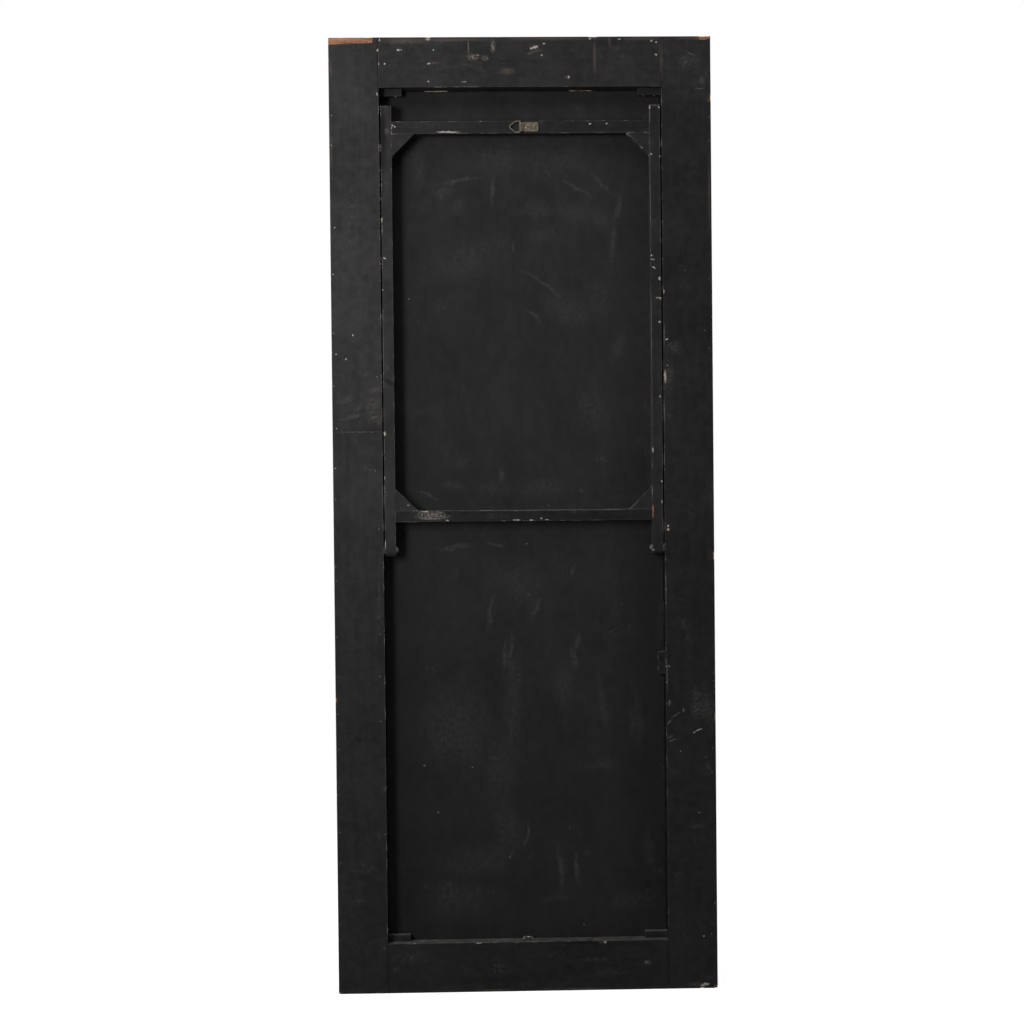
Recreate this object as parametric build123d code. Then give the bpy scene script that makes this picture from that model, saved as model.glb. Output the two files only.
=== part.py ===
from build123d import *
import math
import os

# A tall floor mirror in a black stile-and-rail frame, with a folding easel let into its back.
# Millimetres, +Z up. The glass faces -Y and the easel side faces +Y.
# Left and right are as seen from the back, so left is at +X.
# The origin is at the middle of the bottom of the whole object.

# Frame
width = 730.0
height = 1830.0
member_width = 95.0
carcass_thick = 42.0
moulding_thick = 18.0
lip = 11.0
tenon_length = 60.0
tenon_thick = 14.0
tenon_shoulder = 14.0
mortise_spare = 1.0

# Front moulding, from its outer edge to the sight edge at the glass
moulding_round = 9.0
moulding_flat_end = 17.0
frieze_step = 2.5
frieze_sink = 6.5
frieze_hollow = 1.2
bead_start = 74.0
bead_radius = 4.2
quirk = 1.5
cove_place = 7.0
cove_rise = 1.3
sight_flat = 3.5
sight_thick = 4.5

# Glass and backboard, from the front to the back
glass_thick = 5.0
glass_edge_thick = 3.4
glass_bevel = 25.0
glass_side_gap = 1.0
glass_top_gap = 2.0
glass_seat = 4.2
board_thick = 5.0
recess_depth = 27.0

# Wedges behind the glass
wedge_length = 45.0
wedge_wide_end = 9.0
wedge_narrow_end = 5.0
wedge_rows_z = (300.0, 700.0, 1100.0, 1500.0)
wedge_columns_x = (-140.0, 140.0)

# Blocks that hold the backboard
block_length = 43.0
block_width = 13.0
block_thick = 12.0
side_block_z = 607.0
block_nail_inset = 11.0

# Easel, folded up in the recess
pivot_z = 852.0
easel_thick = 26.0
leg_width = 20.5
leg_gap = 3.0
foot_back_z = 1700.0
foot_front_z = 1705.5
easel_top_rail_z = (1646.5, 1670.0)
easel_bottom_rail_z = (905.5, 927.0)
easel_rail_thick = 22.0
stub_length = 12.0
stub_thick = 10.0
stub_shoulder = 3.0
gusset_leg = 43.0
gusset_thick = 18.0
gusset_set_back = 0.8
gusset_nail_place = 0.62
gusset_nail_grip = 13.0
gusset_nail_sunk = 0.6

# Pivot screws and washers
pivot_radius = 3.0
pivot_running_gap = 0.08
pivot_head_radius = 5.0
pivot_head_height = 3.6
pivot_grip = 38.0
pivot_side_gap = 0.3
spacer_thick = 2.4
spacer_radius = 9.0
head_washer_thick = 1.2
head_washer_radius = 7.0

# Nails and pins
nail_radius = 0.8
nail_head_radius = 1.8
nail_head_height = 0.8
block_nail_length = 30.0
pin_radius = 0.9
pin_in_moulding = 10.0
pin_in_carcass = 22.0
side_pins_z = (180.0, 550.0, 915.0, 1280.0, 1650.0)
rail_pins_x = (-180.0, 0.0, 180.0)

# Brass D-ring hanger on the easel's top rail
ring_wire = 2.8
ring_length = 22.7
ring_half_width = 10.6
ring_shoulder = 10.0
ring_shoulder_half_width = 10.2
ring_running_gap = 0.1
strap_gauge = 1.2
strap_length = 34.0
strap_width = 17.6
strap_neck_width = 16.0
strap_neck_length = 7.5
strap_corner = 3.0
strap_panel_depth = 0.4
strap_panel_border = 2.2
hanger_screws_x = (-12.0, -26.0)
hanger_screw_radius = 1.4
hanger_screw_length = 16.0
hanger_head_radius = 3.0
hanger_head_height = 1.5

# Staple for the tie, at the top edge of the bottom rail
staple_wire = 2.6
staple_half_width = 9.0
staple_rise = 8.3
staple_grip = 14.0
staple_bend = 4.0
staple_from_back = 6.0

# Places worked out from the sizes above
loop_radius = ring_wire / 2 + ring_running_gap + strap_gauge
hanger_proud = 2 * loop_radius
back_y = (carcass_thick + moulding_thick - hanger_proud) / 2
lip_y = back_y - carcass_thick
glass_back_y = lip_y + glass_seat
board_back_y = back_y - recess_depth
board_front_y = board_back_y - board_thick
tenon_y = ((lip_y + back_y - tenon_thick) / 2, (lip_y + back_y + tenon_thick) / 2)
half_opening = width / 2 - member_width
opening_bottom = member_width
opening_top = height - member_width
leg_outer = half_opening - leg_gap
leg_inner = leg_outer - leg_width
pivot_y = back_y - easel_thick / 2
easel_front_y = back_y - easel_thick
hanger_z = sum(easel_top_rail_z) / 2
sides = {"left": 1, "right": -1}


def slab(x_ends, y_ends, z_ends):
    """A box between two values along each axis, given in either order."""
    ends = (x_ends, y_ends, z_ends)
    middle = [(low + high) / 2 for low, high in ends]
    size = [abs(high - low) for low, high in ends]
    return Pos(*middle) * Box(*size)


def rod(radius, start, direction, length):
    """A round rod from a start point along a direction."""
    upright = Cylinder(radius, length, align=(Align.CENTER, Align.CENTER, Align.MIN))
    return Plane(origin=start, z_dir=direction) * upright


def upright_prism(points, y_start, thick, towards):
    """Extrudes an outline given as (x, z) points along Y, from y_start towards +Y (1) or -Y (-1)."""
    pairs = zip(points, points[1:] + points[:1])
    if sum(x0 * z1 - x1 * z0 for (x0, z0), (x1, z1) in pairs) < 0:
        points = points[::-1]
    flat = Plane(origin=(0, y_start, 0), x_dir=(1, 0, 0), z_dir=(0, -1, 0))
    return extrude(flat * Polygon(*points, align=None), amount=thick, dir=(0, towards, 0))


def placed(shape, head_at, head_faces):
    """Puts a nail or screw with its head's underside at a point, facing away along a direction."""
    return Plane(origin=head_at, z_dir=head_faces) * shape


def nail(length):
    shank = Cylinder(nail_radius, length, align=(Align.CENTER, Align.CENTER, Align.MAX))
    head_align = (Align.CENTER, Align.CENTER, Align.MIN)
    return shank + Cylinder(nail_head_radius, nail_head_height, align=head_align)


def slotted_screw(radius, length, head_radius, head_height):
    """A round-headed wood screw with a plain shank, a cone point and a slot."""
    point = 3 * radius
    rim = 0.3 * head_height
    crown = 0.8 * head_height
    shank = [(0, head_height), (0, -length), (radius, point - length), (radius, 0)]
    outline = Polyline(*shank, (head_radius, 0), (head_radius, rim))
    dome = ThreePointArc((head_radius, rim), (0.6 * head_radius, crown), (0, head_height))
    turned = revolve(Plane.XZ * make_face(outline + dome), axis=Axis.Z)
    slot_width = 0.25 * head_radius
    slot_floor = 0.45 * head_height
    slot = Pos(0, 0, head_height + slot_floor) * Box(3 * head_radius, slot_width, head_height * 2 - 0.01)
    return turned - slot


def joined_up(shapes):
    """One node that holds several separate solids."""
    return Compound(children=[solid for shape in shapes for solid in shape.solids()])


# Fasteners of the frame

def moulding_pins():
    """Pins through the back of the moulding into the frame, sunk below the painted face."""
    start_y = lip_y - pin_in_moulding
    length = pin_in_moulding + pin_in_carcass
    middle_x = width / 2 - member_width / 2
    places = [(side * middle_x, z) for side in sides.values() for z in side_pins_z]
    places += [(x, z) for z in (member_width / 2, height - member_width / 2) for x in rail_pins_x]
    return [rod(pin_radius, (x, start_y, z), (0, 1, 0), length) for x, z in places]


def corner_block(side, end):
    """A block in a corner of the recess, against the top rail (end 1) or the bottom rail (end -1)."""
    rail_z = opening_top if end > 0 else opening_bottom
    x_ends = (side * half_opening, side * (half_opening - block_length))
    z_ends = (rail_z, rail_z - end * block_width)
    block = slab(x_ends, (board_back_y, board_back_y + block_thick), z_ends)
    nails = []
    for inset in (block_nail_inset, block_length - block_nail_inset):
        head_at = (side * (half_opening - inset), board_back_y + block_thick / 2, z_ends[1])
        nails.append(placed(nail(block_nail_length), head_at, (0, 0, -end)))
    return block, nails


def side_block(side):
    """A block on the inner side of a stile, low in the recess."""
    x_ends = (side * half_opening, side * (half_opening - block_width))
    z_ends = (side_block_z, side_block_z + block_length)
    block = slab(x_ends, (board_back_y, board_back_y + block_thick), z_ends)
    nails = []
    for z in (side_block_z + block_nail_inset, side_block_z + block_length - block_nail_inset):
        head_at = (x_ends[1], board_back_y + block_thick / 2, z)
        nails.append(placed(nail(block_nail_length), head_at, (-side, 0, 0)))
    return block, nails


def tie_staple():
    """A wire staple that stands on the bottom rail near its back edge."""
    foot = opening_bottom - staple_grip
    crown = opening_bottom + staple_rise
    y = back_y - staple_from_back
    outline = ((-1, foot), (-1, crown), (1, crown), (1, foot))
    corners = [(side * staple_half_width, y, z) for side, z in outline]
    path = FilletPolyline(*corners, radius=staple_bend)
    section = Plane(origin=corners[0], z_dir=(0, 0, 1)) * Circle(staple_wire / 2)
    return sweep(section, path=path)


def pivot_screw(side):
    """The screw that one leg turns on, from the leg's inner side into the stile."""
    head_at = (side * (leg_inner - pivot_side_gap - head_washer_thick), pivot_y, pivot_z)
    length = half_opening - abs(head_at[0]) + pivot_grip
    screw = slotted_screw(pivot_radius, length, pivot_head_radius, pivot_head_height)
    return placed(screw, head_at, (-side, 0, 0))


def washer(side, inner_x, thick, radius):
    """A flat washer round a pivot screw, from inner_x outwards."""
    start = (side * inner_x, pivot_y, pivot_z)
    ring = rod(radius, start, (side, 0, 0), thick)
    return ring - rod(pivot_radius, start, (side, 0, 0), thick)


# Wooden frame

def stile(side):
    wood = slab((side * half_opening, side * width / 2), (lip_y, back_y), (0, height))
    mortise_x = (side * half_opening, side * (half_opening + tenon_length + mortise_spare))
    for foot in (0, height - member_width):
        tenon_z = (foot + tenon_shoulder, foot + member_width - tenon_shoulder)
        wood -= slab(mortise_x, tenon_y, tenon_z)
    return wood


def rail(foot):
    """A cross member between the stiles, with a tenon on each end."""
    wood = slab((-half_opening, half_opening), (lip_y, back_y), (foot, foot + member_width))
    reach = half_opening + tenon_length
    tenon_z = (foot + tenon_shoulder, foot + member_width - tenon_shoulder)
    return wood + slab((-reach, reach), tenon_y, tenon_z)


def moulding_section():
    """Cross-section of the front moulding: u runs in from the outer edge, v out from the frame."""
    top = moulding_thick
    inner = member_width + lip
    mid_round = moulding_round * (1 - math.sqrt(0.5))
    shoulder = (0, top - moulding_round)
    rounded = (moulding_round, top)
    frieze_start = (moulding_flat_end, top - frieze_step)
    frieze_low = top - frieze_sink
    frieze_middle = ((moulding_flat_end + bead_start) / 2, frieze_low - frieze_hollow)
    bead_top = (bead_start + bead_radius, frieze_low + bead_radius)
    bead_end = bead_start + 2 * bead_radius
    quirk_low = frieze_low - quirk
    cove_start = (bead_end + 2 * quirk, quirk_low)
    cove_middle = (cove_start[0] + cove_place, sight_thick + cove_rise)
    cove_end = (inner - sight_flat, sight_thick)
    lines = [
        Polyline((0, 0), shoulder),
        ThreePointArc(shoulder, (mid_round, top - mid_round), rounded),
        Polyline(rounded, (moulding_flat_end, top), frieze_start),
        ThreePointArc(frieze_start, frieze_middle, (bead_start, frieze_low)),
        ThreePointArc((bead_start, frieze_low), bead_top, (bead_end, frieze_low)),
        Polyline((bead_end, frieze_low), (bead_end, quirk_low), cove_start),
        ThreePointArc(cove_start, cove_middle, cove_end),
        Polyline(cove_end, (inner, sight_thick), (inner, 0), (0, 0)),
    ]
    return make_face(Curve() + lines)


def moulding(length, origin, inward, along):
    """One mitred length of moulding, centred on the middle of its outer edge."""
    full = member_width + lip
    bar = extrude(moulding_section(), amount=length / 2, both=True)
    half = length / 2
    mitred = Polygon((0, -half), (full, full - half), (full, half - full), (0, half), align=None)
    outline = Plane(origin=(0, 0, 0), x_dir=(1, 0, 0), z_dir=(0, -1, 0)) * mitred
    bar = bar & extrude(outline, amount=2 * moulding_thick, both=True)
    return Plane(origin=origin, x_dir=inward, z_dir=along) * bar


# Glass and backboard

def mirror_glass():
    """A plate with a wide bevel round its front face."""
    half = half_opening - glass_side_gap
    z_ends = (opening_bottom, opening_top - glass_top_gap)
    middle_z = sum(z_ends) / 2
    tall = z_ends[1] - z_ends[0]
    edge_y = glass_back_y - glass_edge_thick
    plate = slab((-half, half), (edge_y, glass_back_y), z_ends)
    front = Plane(origin=(0, edge_y, middle_z), x_dir=(1, 0, 0), z_dir=(0, -1, 0))
    face = Plane(origin=(0, glass_back_y - glass_thick, middle_z), x_dir=(1, 0, 0), z_dir=(0, -1, 0))
    crown = loft([
        front * Rectangle(2 * half, tall),
        face * Rectangle(2 * (half - glass_bevel), tall - 2 * glass_bevel),
    ])
    return plate + crown


def backboard():
    half = half_opening - glass_side_gap
    return slab((-half, half), (board_front_y, board_back_y), (opening_bottom, opening_top - glass_top_gap))


def glass_wedges():
    """Tapered softwood wedges between the glass and the backboard, round the opening."""
    depth = board_front_y - glass_back_y
    outlines = []
    for side in sides.values():
        wall = side * half_opening
        for z in wedge_rows_z:
            outlines.append([
                (wall, z), (wall, z + wedge_length),
                (wall - side * wedge_narrow_end, z + wedge_length), (wall - side * wedge_wide_end, z),
            ])
    for wall, side in ((opening_top, 1), (opening_bottom, -1)):
        for x in wedge_columns_x:
            outlines.append([
                (x, wall), (x + wedge_length, wall),
                (x + wedge_length, wall - side * wedge_narrow_end), (x, wall - side * wedge_wide_end),
            ])
    return [upright_prism(points, glass_back_y, depth, 1) for points in outlines]


# Easel

def easel_leg(side):
    """A leg with a half-round heel at the pivot and a foot cut to stand flat when it is spread."""
    heel_ends = [(easel_front_y, pivot_z), (back_y, pivot_z)]
    foot_ends = [(back_y, foot_back_z), (easel_front_y, foot_front_z)]
    outline = Polygon(*heel_ends, *foot_ends, align=None)
    heel = Pos(pivot_y, pivot_z) * Circle(easel_thick / 2)
    inner_x = min(side * leg_inner, side * leg_outer)
    leg = extrude(Plane.YZ.offset(inner_x) * (outline + heel), amount=leg_width, dir=(1, 0, 0))
    hole_start = (side * leg_inner, pivot_y, pivot_z)
    return leg - rod(pivot_radius + pivot_running_gap, hole_start, (side, 0, 0), leg_width)


def easel_rail(z_ends):
    """A cross rail between the legs, flush with the back, with a stub tenon on each end."""
    wood = slab((-leg_inner, leg_inner), (back_y - easel_rail_thick, back_y), z_ends)
    return wood + stubs(z_ends)


def stubs(z_ends):
    reach = leg_inner + stub_length
    middle_y = back_y - easel_rail_thick / 2
    y_ends = (middle_y - stub_thick / 2, middle_y + stub_thick / 2)
    return slab((-reach, reach), y_ends, (z_ends[0] + stub_shoulder, z_ends[1] - stub_shoulder))


def gusset(side, end):
    """A triangular block in a corner of the easel: end 1 at the top rail, end -1 at the bottom rail."""
    corner_x = side * leg_inner
    corner_z = easel_top_rail_z[0] if end > 0 else easel_bottom_rail_z[1]
    y_back = back_y - gusset_set_back
    y_middle = y_back - gusset_thick / 2
    tips = [(corner_x - side * gusset_leg, corner_z), (corner_x, corner_z - end * gusset_leg)]
    triangle = [(corner_x, corner_z), *tips]
    block = upright_prism(triangle, y_back, gusset_thick, -1)
    along = gusset_nail_place * gusset_leg
    thick_there = gusset_leg - along - nail_head_radius - gusset_nail_sunk
    length = thick_there + gusset_nail_grip
    into_leg = ((corner_x - side * thick_there, y_middle, corner_z - end * along), (-side, 0, 0))
    into_rail = ((corner_x - side * along, y_middle, corner_z - end * thick_there), (0, 0, -end))
    nails = []
    for head_at, faces in (into_leg, into_rail):
        block -= rod(nail_head_radius, head_at, faces, gusset_leg)
        nails.append(placed(nail(length), head_at, faces))
    return block, nails


# Brass hanger

def hanger_ring():
    """A D-ring of round wire, lying towards +X, with its straight side in the strap's loop."""
    y = back_y + loop_radius
    outline = (
        (0, -ring_half_width), (ring_shoulder, -ring_shoulder_half_width), (ring_length, 0),
        (ring_shoulder, ring_shoulder_half_width), (0, ring_half_width),
    )
    corners = [(x, y, hanger_z + z) for x, z in outline]
    path = FilletPolyline(*corners, radius=(2.2, 7.0, 4.5, 7.0, 2.2), close=True)
    section = Plane(origin=path @ 0, z_dir=path % 0) * Circle(ring_wire / 2)
    return sweep(section, path=path)


def hanger_strap():
    """A folded strap: a loop round the ring's straight side, a neck, and a plate with a sunk panel."""
    low = -strap_neck_length
    plate_thick = 2 * strap_gauge
    from_centre = math.hypot(low, loop_radius - plate_thick)
    turn = math.acos(loop_radius / from_centre) - math.atan2(loop_radius - plate_thick, -low)
    touch = (-loop_radius * math.cos(turn), loop_radius + loop_radius * math.sin(turn))
    neck = Polygon((0, 0), (low, 0), (low, plate_thick), touch, (0, loop_radius), align=None)
    outer = Pos(0, loop_radius) * Circle(loop_radius)
    bore = Pos(0, loop_radius) * Circle(loop_radius - strap_gauge)
    loop = extrude(neck + outer - bore, amount=strap_neck_width / 2, both=True)
    plate = slab((low, -strap_length), (0, plate_thick), (-strap_width / 2, strap_width / 2))
    far_edges = [e for e in plate.edges().filter_by(Axis.Y) if e.center().X < low - 1]
    plate = fillet(far_edges, strap_corner)
    border = strap_panel_border
    panel = slab(
        (low - border, border - strap_length),
        (plate_thick - strap_panel_depth, plate_thick + 1),
        (border - strap_width / 2, strap_width / 2 - border),
    )
    panel = fillet(panel.edges().filter_by(Axis.Y), strap_corner - 1)
    return Pos(0, back_y, hanger_z) * (loop + plate - panel)


def hanger_screws():
    screw = slotted_screw(hanger_screw_radius, hanger_screw_length, hanger_head_radius, hanger_head_height)
    head_y = back_y + 2 * strap_gauge - strap_panel_depth
    return [placed(screw, (x, head_y, hanger_z), (0, 1, 0)) for x in hanger_screws_x]


# The object put together
parts = {}
pins = moulding_pins()
staple = tie_staple()
wedges = glass_wedges()
block_nails = []
gusset_nails = []

for side_name, side in sides.items():
    for end_name, end in (("top", 1), ("bottom", -1)):
        block, nails = corner_block(side, end)
        parts[f"block_{end_name}_{side_name}"] = block
        block_nails += nails
        wedge_block, nails = gusset(side, end)
        parts[f"gusset_{end_name}_{side_name}"] = wedge_block
        gusset_nails += nails
    parts[f"pivot_screw_{side_name}"] = pivot_screw(side)
    parts[f"stile_{side_name}"] = stile(side)
    parts[f"easel_leg_{side_name}"] = easel_leg(side)

block, nails = side_block(sides["right"])
parts["block_side_right"] = block
block_nails += nails
parts["top_rail"] = rail(height - member_width)
parts["bottom_rail"] = rail(0)
middle_z = height / 2
parts["moulding_left"] = moulding(height, (width / 2, lip_y, middle_z), (-1, 0, 0), (0, 0, 1))
parts["moulding_right"] = moulding(height, (-width / 2, lip_y, middle_z), (1, 0, 0), (0, 0, -1))
parts["moulding_top"] = moulding(width, (0, lip_y, height), (0, 0, -1), (-1, 0, 0))
parts["moulding_bottom"] = moulding(width, (0, lip_y, 0), (0, 0, 1), (1, 0, 0))
parts["mirror_glass"] = mirror_glass()
parts["backboard"] = backboard()
parts["tie_staple"] = staple
parts["easel_top_rail"] = easel_rail(easel_top_rail_z)
parts["easel_bottom_rail"] = easel_rail(easel_bottom_rail_z)
parts["hanger_ring"] = hanger_ring()
parts["hanger_strap"] = hanger_strap()
strap_screws = hanger_screws()

# Holes that the fasteners and tenons need
drilled = {
    "block_nails": (block_nails, ["block_", "stile_", "top_rail", "bottom_rail"]),
    "gusset_nails": (gusset_nails, ["gusset_", "easel_leg_", "easel_top_rail", "easel_bottom_rail"]),
    "moulding_pins": (pins, ["moulding_", "stile_", "top_rail", "bottom_rail"]),
    "hanger_screws": (strap_screws, ["hanger_strap", "easel_top_rail"]),
    "staple": ([staple], ["bottom_rail"]),
    "pivots": ([parts["pivot_screw_left"], parts["pivot_screw_right"]], ["stile_"]),
    "stubs": ([stubs(easel_top_rail_z), stubs(easel_bottom_rail_z)], ["easel_leg_"]),
}
for cutters, starts in drilled.values():
    for name in list(parts):
        if not name.startswith(tuple(starts)):
            continue
        box = parts[name].bounding_box()
        for cutter in cutters:
            if box.overlaps(cutter.bounding_box()):
                parts[name] = parts[name] - cutter

parts["glass_wedges"] = joined_up(wedges)
parts["block_nails"] = joined_up(block_nails)
parts["gusset_nails"] = joined_up(gusset_nails)
parts["moulding_pins"] = joined_up(pins)
parts["hanger_screws"] = joined_up(strap_screws)
parts["pivot_washers"] = joined_up(
    washer(side, inner_x, thick, radius)
    for side in sides.values()
    for inner_x, thick, radius in (
        (half_opening - spacer_thick, spacer_thick, spacer_radius),
        (leg_inner - pivot_side_gap - head_washer_thick, head_washer_thick, head_washer_radius),
    )
)

os.makedirs("parts", exist_ok=True)
for name, shape in parts.items():
    export_step(shape, f"parts/{name}.step")
    print(name, len(shape.solids()), "solids")
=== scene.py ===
# %% [markdown]
# A tall floor mirror, seen from the back. The real one is a stile-and-rail frame in old black paint, with a thin
# backboard let into it and an easel of sticks that folds up into the same recess. Its looks are all in the paint:
# a satin film with brush marks, rubbed edges, pin-head specks, scuffs, and a few places where bare wood shows.
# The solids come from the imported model. They stay as they are, and this script gives them softened edges, chips,
# finishes, a camera and a plain studio.

# %% Load the fixed frame
import math
from functools import reduce

import bmesh
import bpy
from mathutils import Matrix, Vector, noise as wobble


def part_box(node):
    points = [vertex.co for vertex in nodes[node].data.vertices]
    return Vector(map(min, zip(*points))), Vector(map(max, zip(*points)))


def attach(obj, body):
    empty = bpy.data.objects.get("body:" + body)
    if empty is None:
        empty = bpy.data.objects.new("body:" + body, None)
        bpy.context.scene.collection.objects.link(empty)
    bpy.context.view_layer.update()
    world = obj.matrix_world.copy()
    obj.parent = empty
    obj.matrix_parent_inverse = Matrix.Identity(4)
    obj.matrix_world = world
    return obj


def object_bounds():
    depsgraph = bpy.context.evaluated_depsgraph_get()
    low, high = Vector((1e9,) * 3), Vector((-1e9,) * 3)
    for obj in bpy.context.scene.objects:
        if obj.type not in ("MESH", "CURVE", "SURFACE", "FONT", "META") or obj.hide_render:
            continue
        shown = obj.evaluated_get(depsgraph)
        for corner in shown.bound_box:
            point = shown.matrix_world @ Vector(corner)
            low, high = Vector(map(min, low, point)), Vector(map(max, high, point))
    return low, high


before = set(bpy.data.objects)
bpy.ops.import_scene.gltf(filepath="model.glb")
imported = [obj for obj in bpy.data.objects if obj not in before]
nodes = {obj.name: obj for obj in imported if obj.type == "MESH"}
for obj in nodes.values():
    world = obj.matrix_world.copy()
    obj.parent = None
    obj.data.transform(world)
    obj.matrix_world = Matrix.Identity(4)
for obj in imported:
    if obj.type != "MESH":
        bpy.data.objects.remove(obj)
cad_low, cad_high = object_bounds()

MM = 0.001
back_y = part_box("stile_left")[1].y
width = cad_high.x - cad_low.x
height = cad_high.z - cad_low.z
print(f"{len(nodes)} pieces, {width:.3f} m wide and {height:.3f} m tall, back face at y {back_y:.4f}")

# %% [markdown]
# Places on the back are easiest to give as a restorer would note them: millimetres across and down from the top left
# corner, for someone who looks at the back. The photo shows that side, so marks can be read off it.
# One function turns such a note into a point of the model. Left in the photo is +X here.

# %% From a note on the back to a point
def on_back(across, down, depth=0.0):
    """A point on the back face, in metres, from millimetres across and down, and into the wood."""
    return Vector((cad_high.x - across * MM, back_y - depth * MM, cad_high.z - down * MM))


print("the middle of the back is at", [round(v, 3) for v in on_back(365, 915)])

# %% [markdown]
# The camera stands where the photographer stood: behind the mirror, three metres off, at half its height and a
# little to the left, with a lens that is slightly longer than normal. The picture leans by half a degree, as in the
# photo. Those numbers come from the four corners of the outline, where the left edge is half a percent longer
# than the right one. An exact lens shift isn't needed, so there is none.

# %% Camera
def look_at(thing, target, lean=0.0):
    """Turns a camera or a lamp so that it faces a point, then leans it about its line of sight."""
    line = Vector(target) - thing.location
    thing.rotation_euler = line.to_track_quat("-Z", "Y").to_euler()
    thing.rotation_euler.rotate_axis("Z", math.radians(lean))


def add_camera(place, target, lens, lean):
    data = bpy.data.cameras.new("camera")
    data.lens = lens
    data.sensor_width = 36.0
    data.clip_end = 60.0
    camera = bpy.data.objects.new("camera", data)
    bpy.context.scene.collection.objects.link(camera)
    camera.location = place
    look_at(camera, target, lean)
    bpy.context.scene.camera = camera
    return camera


camera = add_camera(place=(0.0900, 3.1226, 0.9678), target=(0.0234, back_y, 0.9229), lens=56.78, lean=-0.564)
print("camera at", [round(v, 3) for v in camera.location])

# %% [markdown]
# Shader nodes are wired in Python here. Only one tree is wired at a time, so it lies on a bench, and the helpers
# work on whatever lies there. One helper adds a node and fills its inputs, and the others wrap the nodes that come
# up all the time. Each returns the socket that the next one takes.

# %% Helpers for nodes
bench = {}


def clear_bench(owner):
    """Puts the emptied node tree of a material or the world on the bench."""
    owner.use_nodes = True
    owner.node_tree.nodes.clear()
    bench["tree"] = owner.node_tree


def give(socket, value):
    """Links a socket to another node's output, or sets its plain value."""
    if isinstance(value, bpy.types.NodeSocket):
        bench["tree"].links.new(value, socket)
    else:
        socket.default_value = value


def put(kind, inputs=None, **options):
    """Adds a shader node, sets its options, then fills the inputs that are named or numbered."""
    node = bench["tree"].nodes.new("ShaderNode" + kind)
    for option, value in options.items():
        setattr(node, option, value)
    for key, value in (inputs or {}).items():
        give(node.inputs[key], value)
    return node


def maths(operation, *values):
    return put("Math", dict(enumerate(values)), operation=operation).outputs[0]


def times(first, second):
    return maths("MULTIPLY", first, second)


def times_plus(first, second, third):
    return maths("MULTIPLY_ADD", first, second, third)


def plus(first, second):
    return maths("ADD", first, second)


def minus(first, second):
    return maths("SUBTRACT", first, second)


def larger(first, second):
    return maths("MAXIMUM", first, second)


def vectors(operation, *values):
    node = put("VectorMath", dict(enumerate(values)), operation=operation)
    return node.outputs["Value" if operation == "LENGTH" else "Vector"]


def scaled(vector, factor):
    return put("VectorMath", {0: vector, 3: factor}, operation="SCALE").outputs["Vector"]


def turned_level(vector, angle):
    """Turns a position about the axis that runs through the mirror from front to back."""
    return put("VectorRotate", {"Vector": vector, "Angle": angle}, rotation_type="Y_AXIS").outputs[0]


def ramp(value, start, end, low=0.0, high=1.0):
    """Eases from low to high while value goes from start to end. Start may be above end."""
    ends = {0: value, 1: start, 2: end, 3: low, 4: high}
    return put("MapRange", ends, interpolation_type="SMOOTHSTEP").outputs[0]


def blend(factor, first, second):
    """Mixes two colours."""
    return put("Mix", {0: factor, 6: first, 7: second}, data_type="RGBA").outputs[2]


def laid(tone, mask, strength, over):
    """Lays a colour over the tone where the mask is, at the given strength."""
    return blend(times(mask, strength), tone, over)


def grain_noise(position, scale, detail=3.0, rough=0.5):
    """Noise from 0 to 1 at so many waves per metre."""
    inputs = {"Vector": position, "Scale": scale, "Detail": detail, "Roughness": rough}
    return put("TexNoise", inputs).outputs[0]


def colour(red, green, blue):
    return (red, green, blue, 1.0)


def grey(level):
    return colour(level, level, level)


# %% [markdown]
# Effects that several finishes share are node groups: built once here, then placed in each material with its own
# numbers. A group only puts out masks, heights and colours. The shader itself always stays in the material.

# %% Helper that starts a node group
SOCKETS = {"vector": "NodeSocketVector", "value": "NodeSocketFloat", "colour": "NodeSocketColor"}


def start_group(name, inputs, outputs):
    """Puts a new group on the bench, with a position and other inputs. Returns the sockets on its two ends."""
    tree = bench["tree"] = bpy.data.node_groups.new(name, "ShaderNodeTree")
    for socket, value in {"Position": (0.0, 0.0, 0.0), **inputs}.items():
        kind = "value" if isinstance(value, float) else "colour" if len(value) == 4 else "vector"
        made = tree.interface.new_socket(name=socket, in_out="INPUT", socket_type=SOCKETS[kind])
        made.default_value = value
    for socket, kind in outputs.items():
        tree.interface.new_socket(name=socket, in_out="OUTPUT", socket_type=SOCKETS[kind])
    entry = tree.nodes.new("NodeGroupInput").outputs
    leave = tree.nodes.new("NodeGroupOutput").inputs
    return entry, leave


def use(group, **inputs):
    """Places a group in the tree on the bench. Underscores in the names stand for spaces."""
    node = put("Group")
    node.node_tree = group
    for name, value in inputs.items():
        give(node.inputs[name.replace("_", " ").title()], value)
    return node.outputs


# %% [markdown]
# Brushed paint. Old oil paint keeps the furrows of the brush, always along the piece: up and down on a stile,
# sideways on a rail. Noise that is squeezed across the stroke and drawn out along it gives that, at two widths:
# single hairs, and the wider band that each load of paint leaves. The same two feed colour, sheen and height.

# %% Group: brushed coat
def make_brushed_coat():
    inputs = {"Stretch": (1.0, 1.0, 0.04), "Fineness": 900.0}
    entry, leave = start_group("brushed coat", inputs, {"Streaks": "value", "Height": "value"})
    drawn_out = vectors("MULTIPLY", entry["Position"], entry["Stretch"])
    hairs = grain_noise(drawn_out, entry["Fineness"], detail=2.0)
    band_scale = times(entry["Fineness"], 0.12)
    bands = grain_noise(drawn_out, band_scale, detail=3.0, rough=0.6)
    both = times_plus(hairs, 0.45, times(bands, 0.55))
    give(leave["Streaks"], ramp(both, 0.3, 0.7))
    give(leave["Height"], both)
    return bench["tree"]


brushed_coat = make_brushed_coat()
print("group", brushed_coat.name)

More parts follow.
